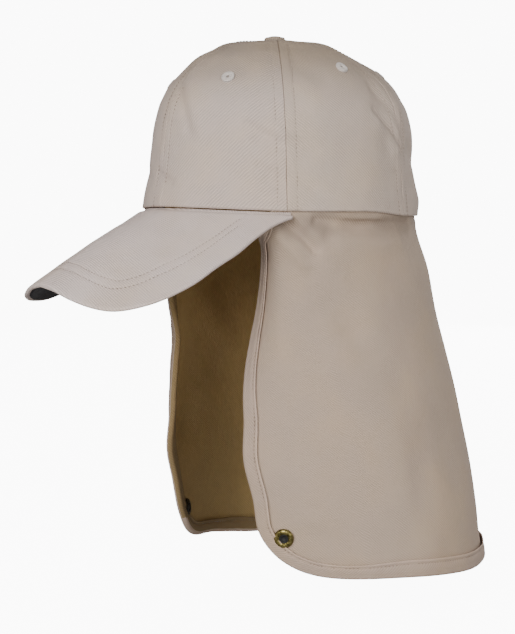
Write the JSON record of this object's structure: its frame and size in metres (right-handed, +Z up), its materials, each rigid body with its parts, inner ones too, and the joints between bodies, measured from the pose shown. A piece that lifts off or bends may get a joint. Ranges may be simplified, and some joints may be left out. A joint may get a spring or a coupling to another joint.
{
  "type": "legionnaire cap",
  "caption": "Sun cap with a crown of cloth panels, a stiff curved peak and a long neck flap with bound edges and corner snaps.",
  "frame": {"origin": "middle of the head opening, in the plane of the crown's rim at the wearer's ears", "axes": "+Z up to the top of the crown, -Y forward along the peak, +X to the wearer's left"},
  "size_m": [0.2176, 0.3502, 0.3728],
  "materials": {
    "twill": "stone cotton twill with a fine diagonal line",
    "underside_cloth": "black cloth under the peak",
    "eyelet_thread": "pale embroidery thread",
    "snap_brass": "antique brass, dark in the recesses"
  },
  "bodies": {
    "root": {"crown_panel_front_left": "twill", "crown_panel_side_left": "twill", "crown_panel_back_left": "twill", "crown_panel_front_right": "twill", "crown_panel_side_right": "twill", "crown_panel_back_right": "twill", "eyelet_front_left": "eyelet_thread", "eyelet_side_left": "eyelet_thread", "eyelet_back_left": "eyelet_thread", "eyelet_front_right": "eyelet_thread", "eyelet_side_right": "eyelet_thread", "eyelet_back_right": "eyelet_thread", "top_button": "twill", "peak": "twill", "peak_underside": "underside_cloth", "neck_flap": "twill", "flap_binding": "twill", "snap_left_cap": "snap_brass", "snap_left_socket": "snap_brass", "snap_right_cap": "snap_brass", "snap_right_socket": "snap_brass"}
  },
  "joints": []
}
